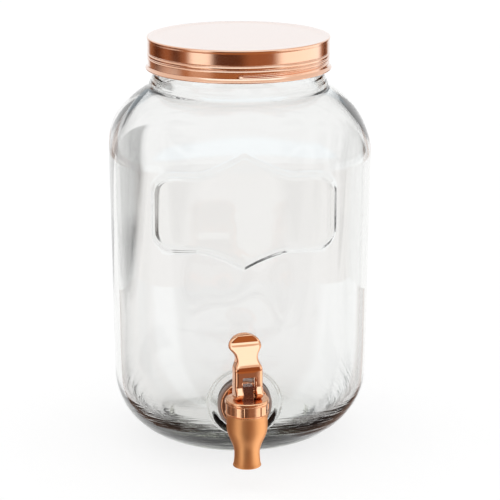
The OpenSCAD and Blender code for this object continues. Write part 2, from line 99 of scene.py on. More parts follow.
# %% Turn a half section
def turned(line, centre, axis, steps, closed=True):
    """A bmesh of the line (distance from the axis, place along it) carried once round the axis."""
    bm = bmesh.new()
    origin, along = Vector(centre), Vector(axis)
    out = Vector((1, 0, 0))
    verts = [bm.verts.new(origin + out * r + along * h) for r, h in line]
    pairs = list(zip(verts, verts[1:])) + ([(verts[-1], verts[0])] if closed else [])
    edges = [bm.edges.new(pair) for pair in pairs]
    bmesh.ops.spin(bm, geom=verts + edges, cent=origin, axis=along, angle=2 * math.pi,
                   steps=steps, use_merge=True)
    bmesh.ops.remove_doubles(bm, verts=bm.verts, dist=1e-4)
    bmesh.ops.recalc_face_normals(bm, faces=bm.faces)
    return bm


trial = turned([(5, 0), (9, 0), (9, 4), (5, 4)], (0, 0, 0), (0, 0, 1), 16)
print("a plain ring in 16 steps:", len(trial.faces), "faces")
trial.free()

# %% [markdown]
# ### From bmesh to piece
# A finished bmesh becomes an object at the origin, and then rides on the body whose CAD nodes it
# replaces. A Boolean cuts a hole or joins two forms; its result is kept as plain mesh, because the
# smoothing and the slots that follow need the real faces.

# %% Make, place and combine pieces
def make_object(name, bm, sharp=40):
    """Shrinks the bmesh from millimetres to metres and puts it in the scene."""
    bmesh.ops.scale(bm, vec=(MM, MM, MM), verts=bm.verts)
    mesh = bpy.data.meshes.new(name)
    bm.to_mesh(mesh)
    bm.free()
    mesh.shade_smooth()
    mesh.set_sharp_from_angle(angle=math.radians(sharp))
    obj = bpy.data.objects.new(name, mesh)
    bpy.context.scene.collection.objects.link(obj)
    return obj


def finish_piece(obj, body, slot, finish, *replaced):
    """Lets a piece ride on its body in place of CAD nodes, with its finish."""
    if not obj.data.materials:
        obj.data.materials.append(finish)
    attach(obj, body)
    if replaced:
        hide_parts(*replaced)
    print(obj.name, "faces", len(obj.data.polygons))


def combine(obj, other, operation):
    """Joins or cuts obj with other, which is used up, and keeps the result as plain mesh."""
    modifier = obj.modifiers.new("combine", "BOOLEAN")
    modifier.operation, modifier.object, modifier.solver = operation, other, "EXACT"
    graph = bpy.context.evaluated_depsgraph_get()
    result = bpy.data.meshes.new_from_object(obj.evaluated_get(graph))
    obj.modifiers.clear()
    obj.data = result
    bpy.data.objects.remove(other)


print("1 mm is", MM, "Blender units")

# %% [markdown]
# ## Finishes
# Colours are written as sRGB hex values, as a designer would pick them, and one function turns them
# into the linear values that Blender's shaders expect.

# %% Colour and node helpers
def linear(hex_code):
    parts = [int(hex_code[i:i + 2], 16) / 255 for i in (1, 3, 5)]
    return tuple(c / 12.92 if c <= 0.04045 else ((c + 0.055) / 1.055) ** 2.4 for c in parts) + (1,)


def per_metre(size_mm):
    """How often a pattern of this size comes in a metre, which is what a Scale socket counts."""
    return 1000 / size_mm


def new_material(name):
    """A material that holds only its output node."""
    material = bpy.data.materials.new(name)
    material.use_nodes = True
    material.node_tree.nodes.clear()
    material.node_tree.nodes.new("ShaderNodeOutputMaterial")
    return material


def add_node(material, kind, settings=None, inputs=None, links=None, shown_as=None):
    """Adds a node with its settings, input values and links from other nodes' outputs.

    shown_as names the socket of the material's output, Surface or Volume, that the node feeds.
    """
    tree = material.node_tree
    node = tree.nodes.new(kind)
    for key, value in (settings or {}).items():
        setattr(node, key, value)
    for key, value in (inputs or {}).items():
        node.inputs[key].default_value = value
    for key, output in (links or {}).items():
        tree.links.new(output, node.inputs[key])
    if shown_as:
        tree.links.new(node.outputs[0], tree.get_output_node("ALL").inputs[shown_as])
    return node


print("linear value of #808080:", round(linear("#808080")[0], 3))

# %% [markdown]
# ### Flint glass
# Clear soda-lime glass, pressed in an iron mould and fire polished. Light bends at both faces of the
# wall, so the wall needs a real inside and outside. The mould leaves the skin very slightly uneven,
# which shows as soft ripples in what is seen through it.

# %% Chill rings
def chill_rings(material, place):
    """Streaks round the heel, and how strongly they show at each spot."""
    # 7 mm tall and 91 mm long: fine dark and light lines where the mould chilled the glass first
    stretched = add_node(material, "ShaderNodeMapping", None,
                         {"Scale": (per_metre(90.9), per_metre(90.9), per_metre(7.143))},
                         {"Vector": place})
    rings = add_node(material, "ShaderNodeTexNoise", None,
                     {"Scale": 1.0, "Detail": 3.0, "Roughness": 0.55},
                     {"Vector": stretched.outputs["Vector"]})
    # They fade out between 22 and 58 mm up, and towards the flat floor inside a radius of 80 mm
    height = add_node(material, "ShaderNodeSeparateXYZ", links={"Vector": place})
    low = add_node(material, "ShaderNodeMapRange", {"interpolation_type": "SMOOTHSTEP"},
                   {"From Min": 22 * MM, "From Max": 58 * MM, "To Min": 1.0, "To Max": 0.0},
                   {"Value": height.outputs["Z"]})
    across = add_node(material, "ShaderNodeVectorMath", {"operation": "MULTIPLY"},
                      {1: (1.0, 1.0, 0.0)}, {0: place})
    reach = add_node(material, "ShaderNodeVectorMath", {"operation": "LENGTH"},
                     links={0: across.outputs["Vector"]})
    wide = add_node(material, "ShaderNodeMapRange", {"interpolation_type": "SMOOTHSTEP"},
                    {"From Min": 70 * MM, "From Max": 80 * MM}, {"Value": reach.outputs["Value"]})
    share = add_node(material, "ShaderNodeMath", {"operation": "MULTIPLY"},
                     links={0: low.outputs["Result"], 1: wide.outputs["Result"]})
    return rings.outputs["Fac"], share.outputs["Value"]


print("rings to the metre:", round(per_metre(7.143)))

# %% [markdown]
# ### The glass itself
# The ripples and rings only bend the light at the skin. The body of the glass takes a little light too,
# through a volume, so thick places look greyer than thin ones, as they do in real flint glass.

# %% Flint glass
def flint_glass():
    material = new_material("pressed_flint_glass")
    place = add_node(material, "ShaderNodeTexCoord").outputs["Object"]
    # Mould marks some 33 mm across and a tenth of a millimetre deep: a soft waver
    marks = add_node(material, "ShaderNodeTexNoise", None,
                     {"Scale": per_metre(33.3), "Detail": 0.0}, {"Vector": place})
    waver = add_node(material, "ShaderNodeBump", None, {"Strength": 0.2, "Distance": 0.6 * MM},
                     {"Height": marks.outputs["Fac"]})
    rings, share = chill_rings(material, place)
    streaks = add_node(material, "ShaderNodeBump", None, {"Distance": 1.4 * MM},
                       {"Height": rings, "Strength": share, "Normal": waver.outputs["Normal"]})
    add_node(material, "ShaderNodeBsdfPrincipled", None,
             {"Base Color": linear("#fafafa"), "Roughness": 0.0, "IOR": 1.52,
              "Transmission Weight": 1.0}, {"Normal": streaks.outputs["Normal"]}, "Surface")
    # Iron in the melt takes some 2 % of the light in 5 mm of wall, so only the thick heel looks grey
    add_node(material, "ShaderNodeVolumeAbsorption", None,
             {"Color": (0.84, 0.85, 0.815, 1), "Density": 28.0}, shown_as="Volume")
    return material


glass = flint_glass()
print("glass nodes:", len(glass.node_tree.nodes))

# %% [markdown]
# ### Copper on the lid
# The lid is tinplate with a copper coat under clear lacquer, drawn in a press. Handling leaves faint
# rubbed marks, in which the roughness varies a little, and that is what makes bright metal look real.
# Most of the jar's other finishes are of this kind too, so one function makes a finish of one colour
# with marks of a given size and stretch.

# %% Rubbed marks
def rubbed(material, size_mm, stretch, low, high):
    """Roughness between low and high in marks of this size, stretched along the rubbing."""
    place = add_node(material, "ShaderNodeTexCoord")
    mapping = add_node(material, "ShaderNodeMapping", None, {"Scale": stretch},
                       {"Vector": place.outputs["Object"]})
    marks = add_node(material, "ShaderNodeTexNoise", None,
                     {"Scale": per_metre(size_mm), "Detail": 3.0, "Roughness": 0.6},
                     {"Vector": mapping.outputs["Vector"]})
    spread = add_node(material, "ShaderNodeMapRange", None, {"To Min": low, "To Max": high},
                      {"Value": marks.outputs["Fac"]})
    return marks.outputs["Fac"], spread.outputs["Result"]


def plain_finish(name, hex_code, marks, inputs):
    """A finish of one colour whose roughness follows its rubbed marks."""
    material = new_material(name)
    roughness = rubbed(material, *marks)[1]
    add_node(material, "ShaderNodeBsdfPrincipled", None, {"Base Color": linear(hex_code), **inputs},
             {"Roughness": roughness}, "Surface")
    print(name, "roughness", marks[2:])
    return material


# The lacquer over the copper adds a clear second shine
lid_finish = plain_finish("lacquered_copper_tinplate", "#e6b292", (11.1, (1.0, 1.0, 6.0), 0.15, 0.21),
                          {"Metallic": 1.0, "Coat Weight": 1.0, "Coat Roughness": 0.04})

# %% [markdown]
# ### Copper on the tap
# The tap is plated plastic: mirror bright on the lever, a softer sheen on the cap, and satin on the
# barrel, where the brush has run round the axis. All are the same metal, and only the way that the skin
# was left tells them apart.

# %% Tap finishes
# The cap's softer plating spreads its highlights
sheen_finish = plain_finish("soft_sheen_copper_plating", "#e2ab84", (5.0, (1.0, 1.0, 5.0), 0.17, 0.25),
                            {"Metallic": 1.0})


def polished_copper():
    material = new_material("mirror_copper_plating")
    marks, roughness = rubbed(material, 6.25, (1.0, 1.0, 1.0), 0.05, 0.09)
    # Flow waviness of the moulded plastic, some 6 mm apart, bends the edges of what it mirrors
    bump = add_node(material, "ShaderNodeBump", None, {"Strength": 0.25, "Distance": 0.2 * MM},
                    {"Height": marks})
    add_node(material, "ShaderNodeBsdfPrincipled", None,
             {"Base Color": linear("#e3a882"), "Metallic": 1.0},
             {"Roughness": roughness, "Normal": bump.outputs["Normal"]}, "Surface")
    return material


def satin_copper(axis_y):
    material = new_material("satin_copper_plating")
    place = add_node(material, "ShaderNodeTexCoord")
    # Brush lines 0.8 mm apart up the barrel: the real ones are too fine to show, so these are coarser
    mapping = add_node(material, "ShaderNodeMapping", None,
                       {"Scale": (per_metre(33.3), per_metre(33.3), per_metre(0.769))},
                       {"Vector": place.outputs["Object"]})
    lines = add_node(material, "ShaderNodeTexNoise", None, {"Scale": 1.0, "Detail": 4.0},
                     {"Vector": mapping.outputs["Vector"]})
    bump = add_node(material, "ShaderNodeBump", None, {"Strength": 0.2, "Distance": 0.1 * MM},
                    {"Height": lines.outputs["Fac"]})
    spread = add_node(material, "ShaderNodeMapRange", None, {"To Min": 0.36, "To Max": 0.46},
                      {"Value": lines.outputs["Fac"]})
    # The tangent runs round the axis, which pulls each highlight out into an upright band
    centred = add_node(material, "ShaderNodeVectorMath", {"operation": "SUBTRACT"},
                       {1: (0.0, axis_y, 0.0)}, {0: place.outputs["Object"]})
    round_axis = add_node(material, "ShaderNodeVectorMath", {"operation": "CROSS_PRODUCT"},
                          {0: (0.0, 0.0, 1.0)}, {1: centred.outputs["Vector"]})
    add_node(material, "ShaderNodeBsdfPrincipled", None,
             {"Base Color": linear("#e29f68"), "Metallic": 1.0, "Anisotropic": 0.6},
             {"Roughness": spread.outputs["Result"], "Normal": bump.outputs["Normal"],
              "Tangent": round_axis.outputs["Vector"]}, "Surface")
    return material


TAP_AXIS_Y = -143.0
mirror_finish = polished_copper()
satin_finish = satin_copper(TAP_AXIS_Y * MM)
print(mirror_finish.name, satin_finish.name)

# %% [markdown]
# ### Rubber, steel and the stem
# The washers are grey silicone, slightly see-through at the edge; the hidden valve is nitrile rubber;
# nut, spring and the thin washers are stainless steel; the stem's head is dark plum anodised aluminium.

# %% Rubber, steel and stem
EVEN = (1.0, 1.0, 1.0)
# Moulded silicone: dull, and a little light comes through its rim
silicone_finish = plain_finish("grey_silicone_rubber", "#9d8d86", (3.33, EVEN, 0.28, 0.42),
                               {"IOR": 1.41, "Subsurface Weight": 0.15,
                                "Subsurface Radius": (0.002, 0.0015, 0.001)})
# Moulded nitrile: nearly black with a broad weak shine
rubber_finish = plain_finish("black_nitrile_rubber", "#262627", (2.5, EVEN, 0.45, 0.6), {"IOR": 1.52})
# Bright rolled steel: clear highlights with rubbed bands
steel_finish = plain_finish("bright_stainless_steel", "#c6c5c2", (4.55, (1.0, 6.0, 1.0), 0.16, 0.28),
                            {"Metallic": 1.0})
# Anodised aluminium: a metal sheen under a dark dyed skin
stem_finish = plain_finish("dark_plum_anodised_aluminium", "#7a5348", (4.0, (1.0, 1.0, 4.0), 0.22, 0.32),
                           {"Metallic": 0.85})

# %% [markdown]
# ## The jar's form
# The mould gives the jar a round foot, a squarish wall and a round neck. Its half section is spun as if
# the jar were round, and then each vertex is pressed towards a superellipse, whose exponent is 2 (a
# circle) at foot and neck and 3.4 (a rounded square) along the wall. A box with rounded edges could give
# the wall, but not this smooth change from round to square.

# %% The jar's half section
HEEL_HALF, HEEL_H, FOOT_R = 102.3, 59.5, 57.0
TOP_HALF, SHOULDER_Z, SHOULDER_RX, SHOULDER_RZ = 105.0, 241.5, 77.8, 59.8
NECK_R, NECK_BORE, NECK_TOP = 69.0, 64.5, 327.43
WALL, FLOOR, FOOT_RING = 5.0, 15.5, 0.5
HEEL_REACH = HEEL_HALF - (FOOT_R - 6.4)
SQUARE_Z, SQUARENESS = 90.0, 3.4
SHOULDER_END = math.acos(1 - (TOP_HALF - NECK_R) / SHOULDER_RX)
NECK_Z = SHOULDER_Z + SHOULDER_RZ * math.sin(SHOULDER_END)
INNER_END = math.acos(1 - (TOP_HALF - WALL - NECK_BORE) / (SHOULDER_RX - WALL))
BOWL_R, BOWL_END, FLOOR_CROWN = 58.0, 0.231, 1.6


def exponent(z):
    if z < SQUARE_Z:
        return mix(2, SQUARENESS, smooth(z / SQUARE_Z))
    return mix(SQUARENESS, 2, smooth((z - SHOULDER_Z) / (NECK_Z - SHOULDER_Z)))


def reach_at(angle, z):
    """How far the pressed section reaches at an angle, for a half width of 1."""
    n = exponent(z)
    return (abs(math.cos(angle)) ** n + abs(math.sin(angle)) ** n) ** (-1 / n)


def outer_half(z):
    """Half width of the jar's outside at height z, between foot and neck."""
    if z < HEEL_H:
        sine = math.sqrt(max(0, 1 - ((HEEL_H - z) / HEEL_H) ** 2))
        return HEEL_HALF - HEEL_REACH * (1 - sine)
    if z < SHOULDER_Z:
        return mix(HEEL_HALF, TOP_HALF, (z - HEEL_H) / (SHOULDER_Z - HEEL_H))
    cosine = math.sqrt(max(0, 1 - ((z - SHOULDER_Z) / SHOULDER_RZ) ** 2))
    return TOP_HALF - SHOULDER_RX * (1 - cosine)


print("half width of the wall at mid height:", round(outer_half(150), 1), "mm")

# %% [markdown]
# ### Walk round the glass
# The half section runs up the outside from the middle of the foot, over the rim and down the inside to
# the middle of the floor. The foot has a shallow push-up underneath and stands on a narrow ring, and the
# inside floor is a bowl with a slight crown, thick where the wall meets it.

# %% The half section as one line
def spaced(low, high, step):
    n = max(1, round((high - low) / step))
    return [mix(low, high, i / n) for i in range(n + 1)]


def outside_line():
    push_up, dome_r = 3.0, 52.0
    outside = [(r, push_up * (1 - (r / dome_r) ** 2) ** 2) for r in spaced(0, dome_r, 4.0)]
    outside += [(54.0, 0.0), (55.8, 0.0), (56.8, 0.12)]
    first = math.acos((HEEL_H - FOOT_RING) / HEEL_H)
    for a in spaced(first, math.pi / 2, math.radians(3.4)):
        outside.append((HEEL_HALF - HEEL_REACH * (1 - math.sin(a)), HEEL_H * (1 - math.cos(a))))
    outside += [(outer_half(z), z) for z in spaced(HEEL_H, SHOULDER_Z, 3.0)[1:-1]]
    for a in spaced(0, SHOULDER_END - math.radians(2.2), math.radians(2.2)):
        outside.append((TOP_HALF - SHOULDER_RX * (1 - math.cos(a)), SHOULDER_Z + SHOULDER_RZ * math.sin(a)))
    low = outside[-1]
    outside += rounded([(*low, 0), (NECK_R, NECK_Z, 3.5), (NECK_R, NECK_Z + 8, 0)], 5)[1:]
    return outside + [(NECK_R, z) for z in spaced(NECK_Z + 8, NECK_TOP - 3, 0.9)[1:]]


def inside_line():
    inside = [(NECK_BORE, z) for z in reversed(spaced(290.5, NECK_TOP - 3, 5.0)[:-1])]
    for a in reversed(spaced(0, INNER_END - math.radians(2.5), math.radians(3.0))):
        inside.append((TOP_HALF - WALL - (SHOULDER_RX - WALL) * (1 - math.cos(a)),
                       SHOULDER_Z + (SHOULDER_RZ - WALL) * math.sin(a)))
    inside += [(outer_half(z) - WALL, z) for z in reversed(spaced(HEEL_H, SHOULDER_Z, 5.0)[1:-1])]
    bowl = [(BOWL_R + (HEEL_HALF - WALL - BOWL_R) * math.sin(a), HEEL_H - (HEEL_H - FLOOR) * math.cos(a))
            for a in reversed(spaced(BOWL_END, math.pi / 2, math.radians(5)))]
    floor_r, floor_z = bowl[-1]
    crown = [(r, floor_z + FLOOR_CROWN * (1 - (r / floor_r) ** 2))
             for r in (floor_r - 1, floor_r - 3, floor_r - 8, 50, 40, 28, 14, 0)]
    return inside + bowl + crown


def jar_section():
    rim = rounded([(NECK_R, NECK_TOP - 3, 0), (NECK_R, NECK_TOP, 1.6), (NECK_BORE, NECK_TOP, 1.6),
                   (NECK_BORE, NECK_TOP - 3, 0)], 5)
    return outside_line() + rim[1:-1] + inside_line()


section = jar_section()
print("points in the jar's half section:", len(section), "top", max(z for r, z in section))

# %% [markdown]
# ## Plaque outline
# Front and back of the wall carry a raised blank panel in the shape of a traditional label plaque: flat
# top and bottom that sweep to a point, round corners, and an edge that stands up as a moulded ridge. A
# curve object could draw the outline, but the wall has to know how deep inside it each vertex lies, so
# the outline is a formula here, with a search tree over its points for the distance.

# %% Plaque outline
class Plaque:
    def __init__(self, side, half, corner, top, peak, low, tip, span, rise, dip):
        self.side, self.half, self.corner, self.rise, self.dip = side, half, corner, rise, dip
        self.top, self.peak, self.low, self.tip, self.span = top, peak, low, tip, span
        points = list(self.outline())
        self.tree = kdtree.KDTree(len(points))
        for i, (x, z) in enumerate(points):
            self.tree.insert((x, z, 0), i)
        self.tree.balance()

    def sweep(self, x, flat, point, power):
        near = max(0.0, 1 - abs(x) / self.span)
        return flat + (point - flat) * near ** power

    def outline(self):
        flat_half = self.half - self.corner
        for x in spaced(-flat_half, flat_half, 0.4):
            yield x, self.sweep(x, self.top, self.peak, 1.35)
            yield x, self.sweep(x, self.low, self.tip, 1.55)
        for a in spaced(0, math.pi / 2, 0.03):
            x = flat_half + self.corner * math.cos(a)
            up = self.corner * math.sin(a)
            for side in (-1, 1):
                yield side * x, self.top - self.corner + up
                yield side * x, self.low + self.corner - up
        for z in spaced(self.low + self.corner, self.top - self.corner, 0.4):
            yield -self.half, z
            yield self.half, z

    def inside(self, x, z):
        x = abs(x)
        if x > self.half or z > self.sweep(x, self.top, self.peak, 1.35):
            return False
        if z < self.sweep(x, self.low, self.tip, 1.55):
            return False
        past = x - (self.half - self.corner)
        over = max(z - (self.top - self.corner), self.low + self.corner - z)
        return past <= 0 or over <= 0 or math.hypot(past, over) <= self.corner

    def depth(self, x, z):
        """Distance inside the outline, negative outside."""
        distance = self.tree.find((x, z, 0))[2]
        return distance if self.inside(x, z) else -distance


front_plaque = Plaque(side=-1, half=69.2, corner=15.0, top=239.5, peak=253.8, low=180.5, tip=166.8,
                      span=37.0, rise=3.4, dip=0.7)
back_plaque = Plaque(side=1, half=69.2, corner=15.0, top=227.8, peak=238.6, low=198.8, tip=178.0,
                     span=40.0, rise=0.7, dip=0.2)
CREST, BEVEL, FALL = 0.9, 3.6, 2.7
print("plaque corner lies inside by", round(front_plaque.depth(0, 210), 1), "mm at its middle")

# %% [markdown]
# ## Finding the glass to move
# Plaques, boss and screw thread are pressed glass, one piece with the wall. So they are not added but
# moved: these helpers pick out vertices of the outer wall, press new ones onto its curve, and cut the
# faces finer near an outline, so that the edge there comes out clean.

# %% Vertices of the wall
BOSS_R, BOSS_Y, BOSS_ROUND, TAP_Z = 28.2, -103.5, 3.2, 55.0
INNER_FACE_R, INNER_FACE_Y, INNER_ROUND = 22.5, -97.3, 4.5
BEAD_START, BEAD_TURN, BEAD_Z, BEAD_HALF, BEAD_OUT, LEAD = -153.0, 345.0, 311.43, 1.7, 2.3, 6.0


def on_outside(v):
    """True for a vertex of the outer wall between foot and neck."""
    angle = math.atan2(v.co.y, v.co.x)
    wall_reach = outer_half(v.co.z) * reach_at(angle, v.co.z)
    return 3 < v.co.z < 290 and math.hypot(v.co.x, v.co.y) > wall_reach - WALL / 2


def press(v, half):
    angle = math.atan2(v.co.y, v.co.x)
    reach = half * reach_at(angle, v.co.z)
    v.co.x, v.co.y = reach * math.cos(angle), reach * math.sin(angle)


def refine(bm, close):
    """Cuts the faces of the outer wall finer where close(vertex) says so."""
    chosen = {v for v in bm.verts if close(v) and on_outside(v)}
    edges = [e for e in bm.edges if e.verts[0] in chosen and e.verts[1] in chosen]
    made = bmesh.ops.subdivide_edges(bm, edges=edges, cuts=1, use_grid_fill=True)
    for v in {g for g in made["geom_inner"] if isinstance(g, bmesh.types.BMVert)}:
        press(v, outer_half(v.co.z))


def from_tap(v):
    return math.hypot(v.co.x, v.co.z - TAP_Z)


def bead_height(v):
    """How far the screw thread stands out of the neck at this vertex."""
    turned_by = (math.degrees(math.atan2(v.co.y, v.co.x)) - BEAD_START) % 360
    if turned_by > BEAD_TURN:
        return 0
    away = abs(v.co.z - (BEAD_Z + LEAD * turned_by / 360)) / BEAD_HALF
    fade = smooth(min(turned_by, BEAD_TURN - turned_by) / 15)
    return BEAD_OUT * fade * math.cos(away * math.pi / 2) ** 2 if away < 1 else 0


print("the neck's thread climbs", round(LEAD * BEAD_TURN / 360, 2), "mm")

# %% [markdown]
# ### Where each feature puts the glass
# Each feature says where a vertex goes, or None if it leaves it alone. A plaque lifts the skin along its
# normal: up a bevel to the crest, then down a little to the panel. Boss and inside pad bring the curved
# wall to a flat, with a soft blend round it, so that the washers can seal. The thread pushes outwards.

# %% Plaques, boss and thread
def plaque_place(v):
    plaque = front_plaque if v.co.y < 0 else back_plaque
    past = plaque.depth(v.co.x, v.co.z) - CREST
    if past <= -BEVEL:
        return None
    t = min(1.0, 1 + past / BEVEL)
    height = plaque.rise * mix(smooth(t), t, 0.95) - plaque.dip * smooth(past / FALL)
    return v.co + v.normal * height


def flat_place(v, outside):
    r = from_tap(v)
    if outside and r < BOSS_R + 2:
        flat = min(BOSS_Y, v.co.y)
        y = mix(flat, v.co.y, smooth((r - BOSS_R + 1.4) / BOSS_ROUND))
    elif not outside and r < INNER_FACE_R + INNER_ROUND and v.co.z > 12:
        y = mix(INNER_FACE_Y, v.co.y, smooth((r - INNER_FACE_R) / INNER_ROUND))
    else:
        return None
    return Vector((v.co.x, y, v.co.z))


def bead_place(v):
    out = bead_height(v)
    return v.co + Vector((v.co.x, v.co.y, 0)).normalized() * out if out else None


print("front plaque stands out by", front_plaque.rise, "mm at its crest")

# %% [markdown]
# ### Press the jar
# The round blank is pressed square and refined near the outlines. All vertices then move at once, so
# that no feature reads another's moved glass. The tap's hole is drilled last with a Boolean, as it is in
# the real jar.

# %% Shape the jar
def shape_jar():
    bm = turned(jar_section(), (0, 0, 0), (0, 0, 1), 256, closed=False)
    for v in bm.verts:
        if v.co.z < NECK_Z:
            press(v, math.hypot(v.co.x, v.co.y))
    plaques = (front_plaque, back_plaque)
    for margin in (6.0, 3.4):
        for plaque in plaques:
            refine(bm, lambda v: v.co.y * plaque.side > 60 and 160 < v.co.z < 262
                   and abs(plaque.depth(v.co.x, v.co.z)) < margin)
    for low, high in ((20, 38), (23, 34)):
        refine(bm, lambda v: v.co.y < -70 and low < from_tap(v) < high)
    bm.normal_update()
    moves = []
    for v in bm.verts:
        outside = on_outside(v)
        if outside and abs(v.co.y) > 60 and 155 < v.co.z < 265:
            moves.append((v, plaque_place(v)))
        if v.co.y < -60 and v.co.z < 110:
            moves.append((v, flat_place(v, outside)))
        if v.co.z > 300 and math.hypot(v.co.x, v.co.y) > NECK_R - 0.1:
            moves.append((v, bead_place(v)))
    for v, place in moves:
        if place is not None:
            v.co = place
    return make_object("jar_glass", bm, sharp=180)


jar = shape_jar()
hole = make_object("hole", turned([(0, -110), (8.5, -110), (8.5, -90), (0, -90)], (0, 0, TAP_Z),
                                  (0, 1, 0), 48, closed=False))
combine(jar, hole, "DIFFERENCE")
jar.data.shade_smooth()
finish_piece(jar, "jar", "clear_glass", glass, "glass_jar")

# %% [markdown]
# ## The lid
# A drawn sheet cap: flat top with a small radius, a raised ring bead under it, a rolled screw thread that
# shows outside as a groove, and a hem rolled outwards at the bottom. The plain cap is spun from its half
# section, closed all round so that the sheet has its real thickness, and then the bead and the thread are
# pressed into the wall. The thread starts blunt at the front and climbs to the right.

# %% Lid
LID_R, LID_IN_R, LID_TOP, LID_LOW, SHEET = 73.25, 72.45, 330.53, 305.03, 0.8
HEM_R, HEM_REACH, RING_Z, SKIRT_LEAN = 0.8, 74.8, 316.43, 0.07
ROLL_START, ROLL_TURN, ROLL_Z = -93.0, 215.0, 310.33
ROLL_OUTSIDE, ROLL_INSIDE = (1.5, 1.5), (2.3, 1.7)


def roll_depth(angle, z, deep, half):
    """Depth of the rolled thread in the lid's wall."""
    turned_by = (math.degrees(angle) - ROLL_START) % 360
    if turned_by > ROLL_TURN:
        return 0
    away = abs(z - (ROLL_Z + LEAD * turned_by / 360)) / half
    fade = smooth(turned_by / 4) * smooth((ROLL_TURN - turned_by) / 25)
    return deep * fade * math.cos(away * math.pi / 2) ** 2 if away < 1 else 0


def ring_bead(z):
    """The ring stands out between two narrow grooves."""
    away = abs(z - RING_Z)
    groove = max(0.0, 1 - abs(away - 1.75) / 0.7)
    crown = max(0.0, 1 - (away / 1.1) ** 2)
    return 0.15 * crown - 0.9 * groove * groove * (3 - 2 * groove)


def shape_lid():
    line = [(0, LID_TOP)] + [(r, LID_TOP) for r in (15, 30, 45, 60, 68)]
    line += rounded([(68, LID_TOP, 0), (LID_R, LID_TOP, 0.6), (LID_R, LID_TOP - 8, 0)], 5)[1:-1]
    line += [(LID_R, z) for z in reversed(spaced(LID_LOW + 3.4, LID_TOP - 2.4, 0.36))]
    centre = Vector((HEM_REACH - HEM_R, LID_LOW + HEM_R))
    line += [tuple(centre + Vector((math.cos(a), math.sin(a))) * HEM_R)
             for a in reversed(spaced(math.radians(-180), math.radians(75), math.radians(18)))]
    line += [(LID_IN_R, z) for z in spaced(LID_LOW + 1.4, LID_TOP - 2.4, 0.45)]
    line += rounded([(LID_IN_R, LID_TOP - 3, 0), (LID_IN_R, LID_TOP - SHEET, 0.5),
                     (60, LID_TOP - SHEET, 0)], 4)[1:]
    line += [(30, LID_TOP - SHEET), (0, LID_TOP - SHEET)]
    bm = turned(line, (0, 0, 0), (0, 0, 1), 320, closed=False)
    for v in bm.verts:
        r, angle = math.hypot(v.co.x, v.co.y), math.atan2(v.co.y, v.co.x)
        if not (LID_LOW + 2.6 < v.co.z < LID_TOP - 2.2 and r > LID_IN_R - 0.1):
            continue
        lean = max(0.0, RING_Z - 2.4 - v.co.z) * SKIRT_LEAN
        if r > LID_IN_R + 0.3:
            moved = r + ring_bead(v.co.z) - roll_depth(angle, v.co.z, *ROLL_OUTSIDE) - lean
        else:
            moved = r + min(0, ring_bead(v.co.z)) - roll_depth(angle, v.co.z, *ROLL_INSIDE) - lean
        v.co.x, v.co.y = moved * math.cos(angle), moved * math.sin(angle)
    return make_object("lid_cap", bm, sharp=180)


finish_piece(shape_lid(), "lid", "lid_copper", lid_finish, "lid_shell")

# %% [markdown]
# ## Turned pieces of the tap
# Barrel, shank, cap and washers are all round about one axis, so each is a half section and a spin. The
# barrel and the shank cross at a right angle; they are made apart, joined, and the water way is cut
# through, in the order that a tool maker would cut the mould.

# %% Barrel and shank
OUTLET_Z, BARREL_TOP, CAP_ROOM = 18.3, 61.0, 16.8
BARREL_R, WAIST_R, MOUTH_R, WAIST_H, BARREL_H = 15.9, 9.85, 10.85, 10.7, 32.0
FLANGE_Y, FLANGE_T, FLANGE_R, SHANK_R, SHANK_END = -105.5, 2.6, 18.75, 8.0, -81.3
THREADS, THREAD_PITCH, THREAD_DEEP = 5, 1.5, 0.6


def barrel_half(h):
    """Half width of the barrel at height h above its mouth."""
    if h >= BARREL_H:
        return BARREL_R
    if h >= WAIST_H:
        swell = (1 - math.cos(math.pi * (h - WAIST_H) / (BARREL_H - WAIST_H))) / 2
        return mix(WAIST_R, BARREL_R, swell)
    return mix(WAIST_R, MOUTH_R, ((WAIST_H - h) / WAIST_H) ** 2)


def shape_shank():
    thread = []
    for i in range(THREADS):
        y = SHANK_END - 1.0 - THREAD_PITCH * i
        thread += [(SHANK_R, y + 0.55), (SHANK_R - THREAD_DEEP, y), (SHANK_R, y - 0.55)]
    corners = [(0, -129.5, 0), (SHANK_R, -129.5, 0), (SHANK_R, FLANGE_Y - FLANGE_T - 5, 2.0),
               (13, FLANGE_Y - FLANGE_T, 1.0), (FLANGE_R, FLANGE_Y - FLANGE_T, 0.8),
               (FLANGE_R, FLANGE_Y, 0.3), (SHANK_R, FLANGE_Y, 0.1), (SHANK_R, -90, 0)]
    line = rounded(corners, 4) + list(reversed(thread)) + [(7.6, SHANK_END), (0, SHANK_END)]
    shank = make_object("shank", turned(line, (0, 0, TAP_Z), (0, 1, 0), 96, closed=False), sharp=35)
    under_cap = [(0, BARREL_TOP), (CAP_ROOM, BARREL_TOP), (CAP_ROOM, 70), (0, 70)]
    relief = make_object("relief", turned(under_cap, (0, TAP_AXIS_Y, 0), (0, 0, 1), 96, closed=False))
    combine(shank, relief, "DIFFERENCE")
    return shank


